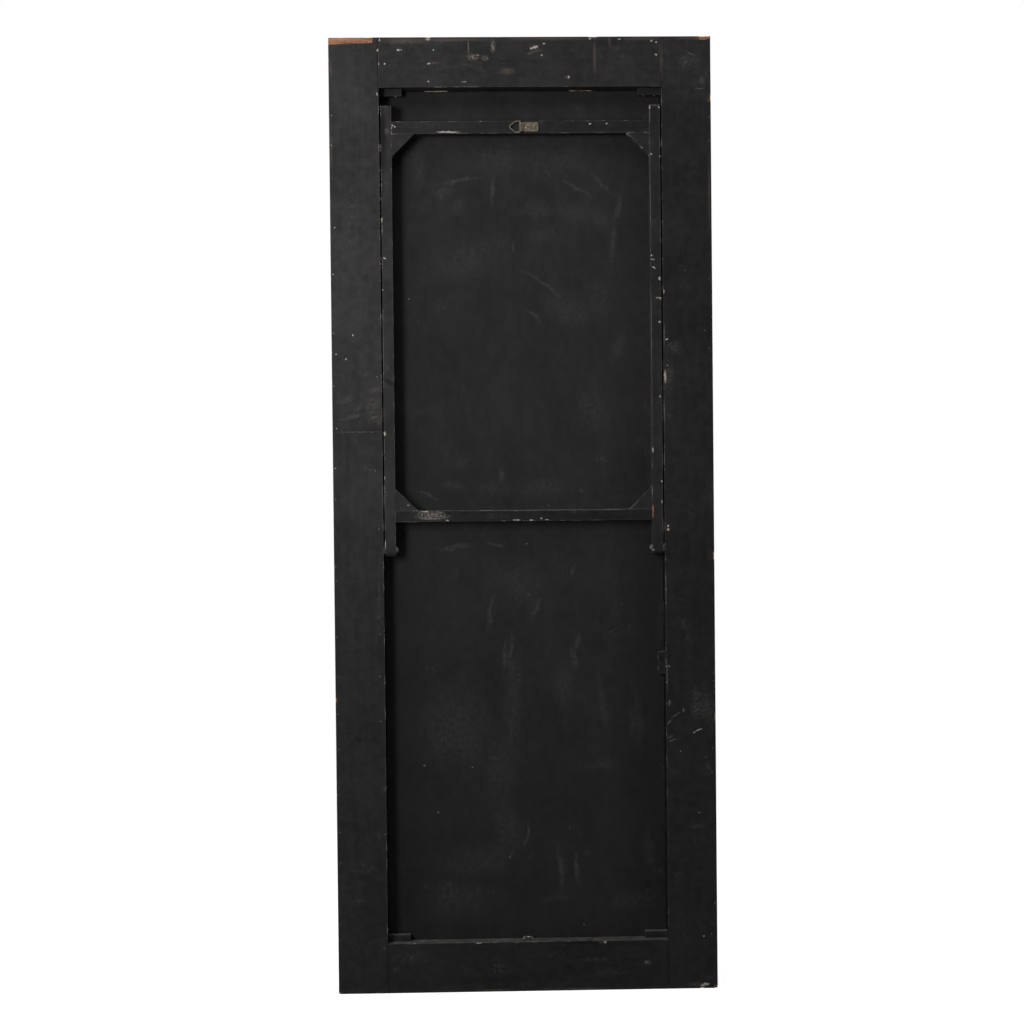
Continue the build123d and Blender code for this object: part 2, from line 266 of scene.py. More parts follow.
# %% [markdown]
# Worn edges. Paint goes first where hands and walls rub: on every outer corner. Ambient occlusion looked at from
# inside the wood tells how near a corner is, on flat faces and on the small bevels alike, so one mask serves all
# pieces. Noise breaks it up, because wear comes in spots and never as an even line.

# %% Group: worn edge
def make_worn_edge():
    inputs = {"Reach": 0.003, "Amount": 0.5, "Grit": 260.0}
    entry, leave = start_group("worn edge", inputs, {"Mask": "value", "Nearness": "value"})
    inside = put("AmbientOcclusion", {"Distance": entry["Reach"]}, inside=True, only_local=True, samples=6)
    nearness = ramp(inside.outputs["AO"], 0.98, 0.5)
    patches = grain_noise(entry["Position"], times(entry["Grit"], 0.12), detail=2.0)
    grit = grain_noise(entry["Position"], entry["Grit"], detail=4.0, rough=0.65)
    broken = times_plus(patches, 0.6, times(grit, 0.4))
    pull = plus(broken, times(nearness, 0.45))
    start = minus(1.15, times(entry["Amount"], 0.4))
    mask = ramp(pull, start, plus(start, 0.06))
    give(leave["Mask"], times(mask, ramp(nearness, 0.02, 0.2)))
    give(leave["Nearness"], nearness)
    return bench["tree"]


worn_edge = make_worn_edge()
print("group", worn_edge.name)

# %% [markdown]
# Dust in corners. A mirror that leans against a wall gathers grey dust where a brush or cloth doesn't reach. The
# usual occlusion, looked at from outside, marks those corners, and soft noise thins it out.

# %% Group: corner dust
def make_corner_dust():
    inputs = {"Reach": 0.02, "Amount": 0.5}
    entry, leave = start_group("corner dust", inputs, {"Mask": "value"})
    outside = put("AmbientOcclusion", {"Distance": entry["Reach"]}, samples=4)
    closeness = ramp(outside.outputs["AO"], 0.95, 0.35)
    patchy = ramp(grain_noise(entry["Position"], 70.0, detail=5.0, rough=0.6), 0.35, 0.7)
    mask = times(times(closeness, patchy), entry["Amount"])
    give(leave["Mask"], mask)
    return bench["tree"]


corner_dust = make_corner_dust()
print("group", corner_dust.name)

# %% [markdown]
# Settled dust and painted top light. Dust lies on faces that look up, such as the ledge of the bottom rail and the
# tops of the blocks, and it's paler than the paint; the same pale layer also paints in the light that falls on those
# faces from above. The surface's own direction gives the mask, taken in the piece's own frame, so that it stays in
# place when the easel swings out.

# %% Group: settled dust and painted top light
def make_dust_and_top_light():
    entry, leave = start_group("dust and painted top light", {"Amount": 0.75}, {"Mask": "value"})
    facing = put("SeparateXYZ", {0: put("TexCoord").outputs["Normal"]}).outputs[2]
    patchy = ramp(grain_noise(entry["Position"], 55.0, detail=5.0, rough=0.65), 0.25, 0.7, 0.25, 1.0)
    mask = times(ramp(facing, 0.75, 0.98), patchy)
    give(leave["Mask"], times(mask, entry["Amount"]))
    return bench["tree"]


dust_and_top_light = make_dust_and_top_light()
print("group", dust_and_top_light.name)

# %% [markdown]
# Fine scratches. They are hair-thin, nearly straight, and run a few centimetres before they fade. Noise drawn out
# along a turned direction has long thin contour lines, and a narrow window on its middle value keeps just those
# lines. A second, coarser noise lets only some of them through.

# %% Group: fine scratches
def make_fine_scratches():
    inputs = {"Turn": 0.4, "Amount": 0.5, "Fineness": 320.0}
    entry, leave = start_group("fine scratches", inputs, {"Mask": "value"})
    thin = vectors("MULTIPLY", turned_level(entry["Position"], entry["Turn"]), (1.0, 1.0, 0.035))
    lines = grain_noise(thin, entry["Fineness"], detail=1.0, rough=0.3)
    off_middle = maths("ABSOLUTE", minus(lines, 0.5))
    hair = ramp(off_middle, 0.012, 0.003)
    some = grain_noise(entry["Position"], 14.0, detail=3.0, rough=0.6)
    limit = minus(0.72, times(entry["Amount"], 0.3))
    present = ramp(some, limit, plus(limit, 0.1))
    give(leave["Mask"], times(hair, present))
    return bench["tree"]


fine_scratches = make_fine_scratches()
print("group", fine_scratches.name)

# %% [markdown]
# Specks. Grit and knocks leave tiny pale dots all over old paint. Each cell of a Voronoi pattern has one point;
# the distance to it makes a round dot, and the cell's own random colour decides whether the dot is there at all
# and how large it is.

# %% Group: specks
def make_specks():
    inputs = {"Spacing": 0.02, "Dot Size": 0.0007, "Share": 0.25}
    entry, leave = start_group("specks", inputs, {"Mask": "value"})
    per_metre = maths("DIVIDE", 1.0, entry["Spacing"])
    cells = put("TexVoronoi", {"Vector": entry["Position"], "Scale": per_metre})
    chance = put("SeparateColor", {0: cells.outputs["Color"]}).outputs
    reach = times(entry["Dot Size"], per_metre)
    reach = times(reach, plus(chance[1], 0.4))
    dot = ramp(cells.outputs["Distance"], reach, times(reach, 0.6))
    here = maths("LESS_THAN", chance[0], entry["Share"])
    give(leave["Mask"], times(dot, here))
    return bench["tree"]


specks = make_specks()
print("group", specks.name)

# %% [markdown]
# One mark at one place. The chips, dots and rubs that make this mirror itself are few enough to note down one by
# one. Each is a soft-edged ellipsoid with a centre, half sizes and a turn. The position that goes in is shaken a
# little by noise first, so that no mark has a clean outline.

# %% Groups: shaken position, and one mark
def make_shaken():
    inputs = {"Shake": 0.0012, "Grit": 420.0}
    entry, leave = start_group("shaken position", inputs, {"Position": "vector"})
    texture = put("TexNoise", {"Vector": entry["Position"], "Scale": entry["Grit"], "Detail": 3.0})
    offset = vectors("SUBTRACT", texture.outputs[1], (0.5, 0.5, 0.5))
    offset = scaled(offset, times(entry["Shake"], 4.0))
    give(leave["Position"], vectors("ADD", entry["Position"], offset))
    return bench["tree"]


def make_one_mark():
    inputs = {"Centre": (0.0, 0.0, 0.0), "Half Size": (0.01, 0.01, 0.01), "Turn": 0.0, "Softness": 0.2}
    entry, leave = start_group("one mark", inputs, {"Mask": "value"})
    offset = vectors("SUBTRACT", entry["Position"], entry["Centre"])
    distance = vectors("LENGTH", vectors("DIVIDE", turned_level(offset, entry["Turn"]), entry["Half Size"]))
    rim = plus(1.0, entry["Softness"])
    give(leave["Mask"], ramp(distance, rim, minus(1.0, entry["Softness"])))
    return bench["tree"]


shaken = make_shaken()
one_mark = make_one_mark()
print("groups", shaken.name, "and", one_mark.name)

# %% [markdown]
# Wood. Where paint is gone, and on the hidden wedges, softwood shows: pale and dark lines along the piece, with
# fine fibres between them. The group gives a colour and a height for the fibres.

# %% Group: wood fibre
def make_wood_fibre():
    woods = {"Light Wood": colour(0.3, 0.16, 0.09), "Dark Wood": colour(0.12, 0.055, 0.03)}
    inputs = {"Stretch": (1.0, 1.0, 0.05), **woods}
    entry, leave = start_group("wood fibre", inputs, {"Color": "colour", "Height": "value"})
    drawn_out = vectors("MULTIPLY", entry["Position"], entry["Stretch"])
    rings = grain_noise(drawn_out, 160.0, detail=4.0, rough=0.6)
    fibres = grain_noise(drawn_out, 1500.0, detail=2.0)
    both = times_plus(fibres, 0.4, times(rings, 0.6))
    shade = ramp(both, 0.32, 0.66)
    give(leave["Color"], blend(shade, entry["Dark Wood"], entry["Light Wood"]))
    give(leave["Height"], both)
    return bench["tree"]


wood_fibre = make_wood_fibre()
print("group", wood_fibre.name)

# %% [markdown]
# Tarnish. Brass and iron that nobody polishes go brown and dull in blotches, and keep their shine longest where
# they rub. Two sizes of noise, one inside the other, give the blotches.

# %% Group: tarnish
def make_tarnish():
    inputs = {"Size": 0.004, "Amount": 0.6}
    entry, leave = start_group("tarnish", inputs, {"Mask": "value", "Grain": "value"})
    per_metre = maths("DIVIDE", 1.0, entry["Size"])
    blotches = grain_noise(entry["Position"], per_metre, detail=5.0, rough=0.65)
    fine = grain_noise(entry["Position"], times(per_metre, 7.0), detail=2.0)
    both = times_plus(fine, 0.3, times(blotches, 0.7))
    start = minus(0.78, times(entry["Amount"], 0.5))
    give(leave["Mask"], ramp(both, start, plus(start, 0.18)))
    give(leave["Grain"], fine)
    return bench["tree"]


tarnish = make_tarnish()
print("group", tarnish.name)

# %% [markdown]
# The wear of this very mirror, noted from the photo for each piece and each kind of mark: millimetres across and
# down, half width, half height and, where it leans, degrees of turn. Pale marks are chips down to the white ground
# and faint ones are thin spots in the film. Pink marks are brownish rubs and bare ones show wood. Scuffs only dull
# the film, streaks are many fine scratches side by side, and flaked patches have lost crumbs of paint. Dark marks are
# stains, and joint lines stay unrubbed. Dim marks are broad patches of painted shade and light ones broad patches of
# painted light, darker or lighter where shade or light fell. The dots along the stiles' edges sit about 72 mm apart:
# they are pin heads that show through the paint.

# %% Notes of wear
SMALL_DOT, LARGE_DOT = 1.1, 1.3
left_edge_chips = [(5, 148), (4, 205), (9, 361), (4, 450), (4, 562), (8, 602), (4, 663), (8, 744), (5, 820), (4, 880)]
left_edge_dots = [(3, 1008), (4, 1036), (4, 1143), (5, 1219), (4, 1290), (6, 1359), (4, 1433), (6, 1519), (6, 1577)]
left_inner_dots = [(97, 642), (86, 646), (88, 735), (81, 826), (87, 937), (86, 1138), (85, 1220), (86, 1306),
                   (92, 1437), (92, 1523), (88, 1743)]
right_edge_dots = [(727, 155), (726, 199), (724, 463), (723, 597), (715, 562), (727, 1220), (727, 1236),
                   (724, 1365), (722, 1412), (711, 1383), (726, 1665), (718, 1725)]
right_inner_dots = [(643, 629), (636, 1002), (636, 1085), (641, 1207), (636, 1207), (636, 1238), (679, 447),
                    (662, 1371), (634, 1682), (696, 1490)]


def round_dots(places, radius):
    return [(across, down, radius, radius) for across, down in places]


wear = {
    "stile_left": {
        "pale": round_dots(left_edge_chips, SMALL_DOT) + [(94, 24, 2, 2.6), (41, 566, 2, 1.4),
         (27, 612, 2.4, 1.5, 40), (92, 107, 1.2, 4)],
        "faint": round_dots(left_edge_dots, SMALL_DOT) + round_dots(left_inner_dots, LARGE_DOT) + [
         (55, 751.3, 36, 0.45)],
        "pink": [(4, 215, 1.5, 26), (4, 60, 1.6, 16)],
        "scuff": [(60, 640, 8, 5), (45, 757, 3, 3), (86, 1108, 5, 22), (78, 1527, 6, 4), (40, 350, 12, 60),
         (55, 140, 7, 7), (84, 1060, 4, 22), (50, 1590, 22, 9), (40, 1650, 18, 7), (66, 822, 10, 5)],
        "streak": [(80, 702, 15, 14, 25), (82, 722, 14, 12), (26, 690, 13, 5, 20), (36, 722, 20, 4, 12),
         (50, 705, 9, 4, 35), (82, 672, 11, 6, 15)],
        "dark": [(44, 1340, 9, 4, -15), (57, 1338, 3, 5)],
    },
    "stile_right": {
        "pale": round_dots(right_inner_dots, SMALL_DOT) + [(641.5, 937, 2, 3.2), (641.5, 944, 2.4, 2.8),
         (642, 579, 3.2, 1.5, 30), (637, 487, 1.6, 4), (638, 650, 2.4, 13), (688, 1335, 2.2, 1.8),
         (697, 1330.5, 8, 1.1, 20), (704, 1729, 1.6, 1.2), (634, 1682, 1.2, 6), (701, 1825, 4, 4.5),
         (707, 1822, 7, 2.5)],
        "faint": round_dots(right_edge_dots, LARGE_DOT) + [(709, 100, 7, 1.1), (637, 570, 1.2, 20),
         (636, 720, 1, 20), (636.3, 1060, 0.9, 26), (637, 1225, 1, 22), (641, 1277, 2, 5),
         (640.5, 1315, 5, 1.5, 50), (653, 1301, 9, 1.1, 28), (668, 1292, 1.8, 4), (642, 1343, 5, 1.2, 25),
         (646, 1350, 7, 1, 18), (692, 33, 9, 0.7, -25)],
        "pink": [(636.5, 45, 1.8, 28), (713, 84, 4, 6), (725.5, 300, 1.6, 55), (690, 1822, 14, 3),
         (690, 4, 26, 2.4)],
        "scuff": [(645, 716, 7, 14), (716, 710, 9, 4, -25), (714, 885, 9, 14), (724, 865, 5, 24),
         (678, 1021, 10, 1.5), (672, 1080, 24, 2, -6), (670, 1127, 16, 9), (676, 1153, 13, 6),
         (712, 1262, 6, 22, 12), (720, 1300, 8, 26), (642, 1412, 5, 7), (653, 1411, 8, 3, 25),
         (716, 1405, 9, 12), (722, 72, 3, 20, -8), (655, 1612, 9, 9), (690, 1515, 14, 6), (715, 1811, 12, 5),
         (722, 992, 6, 8)],
        "streak": [(655, 592, 12, 8), (645, 650, 8, 26), (694, 1265, 8, 14, 8), (700, 1288, 16, 16),
         (688, 46, 16, 10)],
        # painted light: a broad patch made lighter at the top of the right stile
        "light": [(684, 38, 64, 80)],
    },
    "top_rail": {
        "pale": [(133, 24, 2.6, 2.4), (139, 24, 1.3, 1.3), (107, 50, 2.1, 1.9), (191, 50, 2.8, 1.8),
         (200, 24, 1.5, 1.3), (190, 84, 1.6, 1.5), (190, 4, 5, 1.6), (98, 5, 1.6, 2.4), (285, 34, 1.5, 1.3),
         (258, 85, 5, 0.8), (394, 19.5, 6.5, 3, 12), (387.5, 22, 3, 2.2), (411, 13, 2.2, 2),
         (407, 35, 2, 1.3), (458, 77, 2.2, 2.4), (617, 8, 2.4, 2), (626, 11, 2, 1.8), (626, 35, 1.9, 2),
         (555, 5, 3, 1.3), (500, 4, 2.6, 1.3), (96, 50, 0.9, 3)],
        "faint": [(267, 16, 1, 9)],
        "pink": [(201, 49, 8, 2.2), (122, 10, 3, 3), (267, 25, 1.3, 16), (313, 20, 3, 8), (340, 65, 12, 5),
         (385, 31, 6, 2.2, 12), (397, 26, 9, 2.6, 12), (454, 77, 4.5, 3), (508, 36, 2.2, 27), (537, 9, 2, 9),
         (240, 5, 70, 2.6), (440, 4, 80, 2.4), (150, 6, 40, 4.5), (600, 4, 34, 2.4), (633.5, 40, 1.2, 32),
         (96, 46, 0.9, 40)],
        "scuff": [(115, 80, 4, 4), (285, 66, 3, 2.4), (316, 48, 5, 3), (225, 58, 26, 2, 8),
         (275, 56, 30, 2, -12), (290, 62, 12, 4), (508, 50, 2.2, 11), (520, 38, 4, 4), (552, 22, 14, 4),
         (562, 38, 12, 3), (580, 5, 16, 4), (170, 8, 60, 5)],
        "flaked": [(276, 38, 8, 5), (299, 41, 5, 4), (314, 17, 3.5, 9)],
    },
    "bottom_rail": {
        "pale": [(513, 1738, 2.8, 2.2), (146, 1735, 2.6, 1.2), (270, 1736, 5, 0.8)],
        "faint": [(592, 1778, 3.2, 3.6)],
        "pink": [(505, 1738, 3, 2), (598, 1778, 3, 4), (460, 1827, 60, 1.5), (300, 1827, 30, 1.5)],
        "scuff": [(110, 1785, 5, 4), (435, 1743, 3, 4), (420, 1762, 12, 7), (500, 1771, 26, 3),
         (520, 1794, 34, 6), (310, 1785, 20, 12), (145, 1762, 26, 8)],
        # painted shade: a broad patch made darker on the ledge
        "dim": [(475, 1735, 44, 5)],
    },
    "easel_leg_left": {
        "pale": [(98.5, 347, 1.3, 5), (103, 420, 3.2, 1.6, -30), (99.5, 754.5, 3, 4.4), (98.2, 840, 0.8, 3),
         (98.4, 967, 1.3, 8.5), (98.4, 480, 0.8, 2)],
        "faint": [(98.5, 367, 1.3, 9.5), (98.3, 777, 0.8, 14), (108, 128.5, 8, 1.3), (98.4, 600, 0.6, 60)],
        "pink": [(110, 178, 4, 5)],
        "scuff": [(107, 285, 5, 9), (104, 649, 6, 2, 30), (107, 135, 6, 9), (107, 452, 7, 9)],
        "dark": [(108, 656, 14, 4, -35)],
        # painted shadow: the stile's shadow on the upper part of the leg
        "dim": [(99, 190, 8, 75)],
    },
    "easel_leg_right": {
        "pale": [(612.8, 135, 1.6, 3.4), (630, 135, 1.5, 2), (632, 229, 1.2, 2), (615, 224, 2.2, 2.2),
         (613.5, 418, 1.7, 1.9), (616, 425.5, 4.5, 1), (618, 441, 5, 1, -25), (629, 462, 1.9, 4),
         (626, 499, 5, 1.3), (630, 500.5, 1.6, 2.2), (628, 545.5, 2.6, 2.2), (628, 688, 1.8, 1.8),
         (613, 790, 1.9, 5.5), (630, 851, 1.4, 2), (630, 890, 1.2, 4), (634, 955, 1, 6),
         (613.5, 982.5, 1.7, 1.7)],
        "faint": [(621, 131, 11, 1.1), (612.3, 150, 0.9, 17), (612.6, 300, 0.7, 90), (612.4, 560, 0.9, 60)],
        "pink": [(612.6, 690, 1, 80)],
        "bare": [(612.4, 908, 1.1, 14)],
        "scuff": [(617, 286, 4, 6), (628, 525, 2, 3), (628, 770, 3, 7, -20), (616, 200, 4, 9),
         (618, 352, 5, 8)],
    },
    "easel_top_rail": {
        "pale": [(121, 167.5, 2.2, 1.6, -20), (118.5, 172.5, 1.8, 2), (125, 170, 1.6, 1.5),
         (226, 180.4, 24, 1.5, -1), (498, 166, 2.8, 1.5), (530, 166, 3, 1.4)],
        "faint": [(450, 183, 8, 0.8), (574, 184, 8, 1.4, 8), (605, 183.2, 5, 1), (312, 183, 8, 0.6)],
        "scuff": [(440, 165, 5, 2.2), (402, 164, 4, 2.2), (182, 165, 30, 7), (355, 181, 16, 2),
         (520, 182, 40, 1.5)],
    },
    "easel_bottom_rail": {
        "pale": [(175, 904.5, 7, 1.2), (350, 922.6, 7, 1.2), (398, 919.5, 2, 2), (379, 922.6, 4, 1),
         (408, 922.6, 4, 1), (218, 922, 3, 1)],
        "faint": [(186, 918, 17, 1.3), (420, 904.2, 150, 0.7), (530, 904.4, 34, 0.9)],
        "scuff": [(192, 911, 28, 8), (310, 914, 18, 4), (470, 908, 20, 3)],
        "flaked": [(168, 909, 6, 3.2), (184, 911, 10, 6), (201, 912, 10, 7), (190, 915, 24, 5)],
    },
    "gusset_bottom_left": {
        "pale": [(143, 892, 2.1, 2)],
        "scuff": [(134, 900, 5, 5)],
    },
    "gusset_bottom_right": {
        "faint": [(573, 899, 13, 1, 43)],
        "scuff": [(590, 880, 26, 1.2, 43)],
    },
    "gusset_top_right": {
        "pale": [(595, 211, 5, 1.6, -45), (610.5, 227, 2.2, 2.2)],
        "faint": [(605, 222, 16, 0.9, -45)],
        "scuff": [(586, 196, 12, 9, -45)],
    },
    "gusset_top_left": {
        "scuff": [(134, 203, 9, 3, 45)],
    },
}
JOINT_WIDE, JOINT_TALL = 2.6, 62
JOINT_ENDS = {"stile_left": ([95], [50, 1782]), "stile_right": ([635], [50, 1782]),
              "top_rail": ([95, 635], [50]), "bottom_rail": ([95, 635], [1782])}
for node, (sides, ends) in JOINT_ENDS.items():
    wear[node]["joint"] = [(across, down, JOINT_WIDE, JOINT_TALL) for across in sides for down in ends]
print(sum(len(places) for kinds in wear.values() for places in kinds.values()), "marks on", len(wear), "pieces")

# %% [markdown]
# Places where wood is gone. Along the top left corner a long sliver has torn off, and a few knocks took chips out
# of the outer corners. Those change the outline, so they are cut into the mesh and not only painted: each is
# noted like the marks, with how deep it goes, and gets a rough stone-like cutter further on.

# %% Notes of missing wood: piece, across, down, half width, half height and depth, in millimetres
STRIP_LENGTH, STRIP_HEIGHT, STRIP_DEPTH, STRIP_TAPER = 84.0, 13.0, 1.6, 3.2
chips = [
    ("stile_right", 716, 2.2, 13, 4.2, 3.0), ("stile_right", 728.5, 118, 4.0, 6.0, 4.5),
    ("stile_right", 729.3, 995, 1.8, 9.0, 5.0), ("stile_right", 729.6, 1306, 1.5, 10.0, 4.0),
    ("stile_right", 727.5, 1828, 4.0, 3.4, 5.0), ("stile_right", 700, 1829, 3.2, 3.4, 4.0),
    ("stile_left", 0.6, 1264, 1.4, 4.0, 3.0), ("stile_left", 1.0, 1829, 3.0, 2.0, 4.0),
    ("top_rail", 505, 0.3, 9, 1.3, 3.0), ("top_rail", 190, 0.4, 6, 1.4, 2.5),
]
CHIP_RIM = 0.4
for node, across, down, half_wide, half_tall, deep in chips:
    wear[node].setdefault("bare", []).append((across, down, half_wide + CHIP_RIM, half_tall + CHIP_RIM))
print(len(chips), "chips and one torn strip")

# %% [markdown]
# Black paint. The film is nearly black but not quite: it fades to a warm grey-black in clouds, the brush marks catch
# light, edges are rubbed, and dust sits in the corners. Every layer is a mask from a group, and they are mixed in the
# order in which they happened: wood, ground, paint, fading, rubs, chips, dust. Before the rubs, each piece's tone is
# also scaled with height: that is painted light and shade, lighter or darker as the lamps fall.

# %% Colours and brush directions
BARE_LIGHT = colour(0.27, 0.135, 0.078)
BARE_DARK = colour(0.085, 0.036, 0.02)
PAINT_DARK = grey(0.0092)
PAINT_FADED = colour(0.0222, 0.0222, 0.0224)
EDGE_RUBBED = colour(0.045, 0.042, 0.04)
GROUND = colour(0.33, 0.3, 0.27)
CRUMBLED = colour(0.19, 0.165, 0.145)
RUBBED = colour(0.13, 0.095, 0.08)
SCUFFED = grey(0.06)
WORN_GREY = colour(0.095, 0.088, 0.079)
# Pale grey for upward faces: settled dust, and painted light from above.
DUST_AND_TOP_LIGHT = colour(0.075, 0.073, 0.068)
STAIN = grey(0.006)
DUST = colour(0.12, 0.115, 0.105)
PAINT_SPECULAR = 0.035
UPRIGHT = (1.0, 1.0, 0.035)
LEVEL = (0.035, 1.0, 1.0)
LOW_DOWN, HIGH_UP = 0.45, 1.45
STREAK_LEAN = 1.05


# %% Starting and finishing a material
def start_material(name):
    material = bpy.data.materials.new(name)
    clear_bench(material)
    shader = put("BsdfPrincipled")
    put("OutputMaterial", {"Surface": shader.outputs[0]})
    return material, shader, put("TexCoord").outputs["Object"]


def finish_surface(shader, tone, gloss, specular, height, bump, lift):
    """Feeds the shader a colour, a roughness, its plain specular level, and a bump that lifts so many metres."""
    give(shader.inputs["Base Color"], tone)
    give(shader.inputs["Roughness"], gloss)
    shader.inputs["Specular IOR Level"].default_value = specular
    raised = put("Bump", {"Height": height, "Strength": bump, "Distance": lift})
    give(shader.inputs["Normal"], raised.outputs[0])


# %% Masks from the notes
MARK_RIM = {"pale": 0.4, "faint": 0.6, "pink": 0.8, "bare": 0.12, "scuff": 0.95, "dark": 0.7, "streak": 0.9,
            "flaked": 0.8, "joint": 0.3, "dim": 0.9, "light": 0.95}
MARK_DEPTH, OTHER_DEPTHS = 5.0, {"bare": 9.0, "dim": 40.0}
PALE_SIZE = 0.85


def note_mask(position, note, depth, rim, size=1.0):
    """The mask of one note. The depth says how far it goes into the wood, and the rim how soft it is."""
    across, down, half_wide, half_tall, *turn = note
    reach = Vector((size * half_wide, depth, size * half_tall)) * MM
    angle = math.radians(-turn[0]) if turn else 0.0
    return use(one_mark, position=position, centre=on_back(across, down), half_size=reach, turn=angle,
               softness=rim)["Mask"]


def mark_masks(place, marks):
    """One mask for each kind of mark."""
    rough_place = use(shaken, position=place)["Position"]
    masks = {}
    for kind, notes in marks.items():
        size, depth = PALE_SIZE if kind == "pale" else 1.0, OTHER_DEPTHS.get(kind, MARK_DEPTH)
        masks[kind] = reduce(larger, [note_mask(rough_place, note, depth, MARK_RIM[kind], size) for note in notes])
    return masks


def marked(tone, place, masks, crumbs):
    """Lays the marks that keep the film whole, or nearly so, over the paint's colour, and the patches of painted
    shade and painted light.
    """
    if "dark" in masks:
        tone = laid(tone, masks["dark"], 0.8, STAIN)
    # Dim marks are painted shade and light marks painted light; joint lines are darkened as real dark joints.
    for kind, factor in (("dim", 0.45), ("light", 1.45), ("joint", 0.5)):
        if kind in masks:
            tone = scaled(tone, ramp(masks[kind], 0.0, 1.0, 1.0, factor))
    if "scuff" in masks:
        torn_up = ramp(grain_noise(place, 110.0, detail=6.0, rough=0.75), 0.42, 0.74)
        tone = laid(tone, times(masks["scuff"], torn_up), 0.42, SCUFFED)
    if "streak" in masks:
        drawn_out = vectors("MULTIPLY", turned_level(place, STREAK_LEAN), (1.0, 1.0, 0.13))
        drawn = grain_noise(drawn_out, 620.0, detail=5.0, rough=0.75)
        tone = laid(tone, times(masks["streak"], ramp(drawn, 0.44, 0.68)), 0.6, WORN_GREY)
    if "flaked" in masks:
        flakes = ramp(grain_noise(place, 330.0, detail=5.0, rough=0.75), 0.46, 0.6)
        tone = laid(tone, times(flakes, masks["flaked"]), 0.85, CRUMBLED)
    if "faint" in masks:
        tone = laid(tone, times(masks["faint"], ramp(crumbs, 0.3, 0.6)), 0.8, WORN_GREY)
    if "pink" in masks:
        tone = laid(tone, times(masks["pink"], ramp(crumbs, 0.4, 0.62)), 0.45, RUBBED)
    return tone


def torn_strip(inner):
    """1 on the floor of the torn strip: near the corner, below the back face, and not deep in the wood."""
    sunk = maths("LESS_THAN", inner[1], back_y - 0.3 * MM)
    corner = on_back(STRIP_LENGTH + 3.0, STRIP_HEIGHT + 4.0)
    near_corner = times(maths("GREATER_THAN", inner[0], corner.x), maths("GREATER_THAN", inner[2], corner.z))
    return times(times(sunk, near_corner), maths("GREATER_THAN", inner[1], back_y - 6.0 * MM))


# %% Material: black paint
def black_paint(name, along, marks=None, rub=0.42, painted_light_ramp=(1.0, 1.0)):
    """Old satin paint, brushed along the given stretch, and made lighter or darker low down and high up as painted
    light and shade.
    """
    material, shader, place = start_material(name)
    coat = use(brushed_coat, position=place, stretch=along, fineness=900.0)
    clouds = ramp(grain_noise(place, 9.0, detail=4.0, rough=0.6), 0.3, 0.75)
    mottle = ramp(grain_noise(place, 62.0, detail=4.0, rough=0.6), 0.3, 0.7)
    fade = times_plus(coat["Streaks"], 0.28, times_plus(mottle, 0.38, times(clouds, 0.34)))
    tone = blend(fade, PAINT_DARK, PAINT_FADED)
    inner = put("SeparateXYZ", {0: place}).outputs
    # Painted light and shade: each piece's tone is scaled with height, lighter or darker as the lamps fall on it.
    tone = scaled(tone, ramp(inner[2], LOW_DOWN, HIGH_UP, *painted_light_ramp))
    if "stile" in name:  # the sides that face into the recess are made darker
        tone = scaled(tone, ramp(inner[1], back_y - 2.5 * MM, back_y - 1.2 * MM, 0.4, 1.0))
    edge = use(worn_edge, position=place, reach=0.0022, amount=rub, grit=300.0)
    tone = laid(tone, edge["Nearness"], 0.3, EDGE_RUBBED)
    hairs = use(fine_scratches, position=place, turn=0.5, amount=0.35)["Mask"]
    other_hairs = use(fine_scratches, position=place, turn=-0.9, amount=0.3, fineness=260.0)["Mask"]
    tone = laid(tone, larger(hairs, other_hairs), 0.35, SCUFFED)

    masks = mark_masks(place, marks or {})
    crumbs = grain_noise(place, 700.0, detail=4.0, rough=0.7)
    tone = marked(tone, place, masks, crumbs)
    edge_wear = times(edge["Mask"], minus(1.0, masks["joint"])) if "joint" in masks else edge["Mask"]
    dots = use(specks, position=place, spacing=0.03, dot_size=0.0006, share=0.3)["Mask"]
    chipped = larger(edge_wear, times(dots, 0.6))
    if "pale" in masks:
        chipped = larger(chipped, times(masks["pale"], ramp(crumbs, 0.3, 0.5)))
    tone = blend(chipped, tone, blend(ramp(crumbs, 0.35, 0.6), RUBBED, GROUND))

    bare, dull = masks.get("bare"), chipped
    if "stile_left" in name:
        bare = larger(bare, torn_strip(inner))
    height = times_plus(coat["Height"], 0.35, times(chipped, -0.5))
    if bare:
        wood = use(wood_fibre, position=place, stretch=LEVEL, light_wood=BARE_LIGHT, dark_wood=BARE_DARK)
        tone = blend(bare, tone, wood["Color"])
        height = plus(height, times(bare, wood["Height"]))
        dull = larger(chipped, bare)
    tone = blend(use(corner_dust, position=place, reach=0.02, amount=0.08)["Mask"], tone, DUST)
    # Upward faces go paler: settled dust, and painted light from above.
    tone = blend(use(dust_and_top_light, position=place)["Mask"], tone, DUST_AND_TOP_LIGHT)
    gloss = plus(plus(ramp(coat["Streaks"], 0.0, 1.0, 0.41, 0.53), times(clouds, 0.06)), times(dull, 0.35))
    finish_surface(shader, tone, gloss, PAINT_SPECULAR, height, bump=0.5, lift=0.0006)
    return material


def dress(node, material):
    """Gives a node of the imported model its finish."""
    data = nodes[node].data
    data.materials.clear()
    data.materials.append(material)


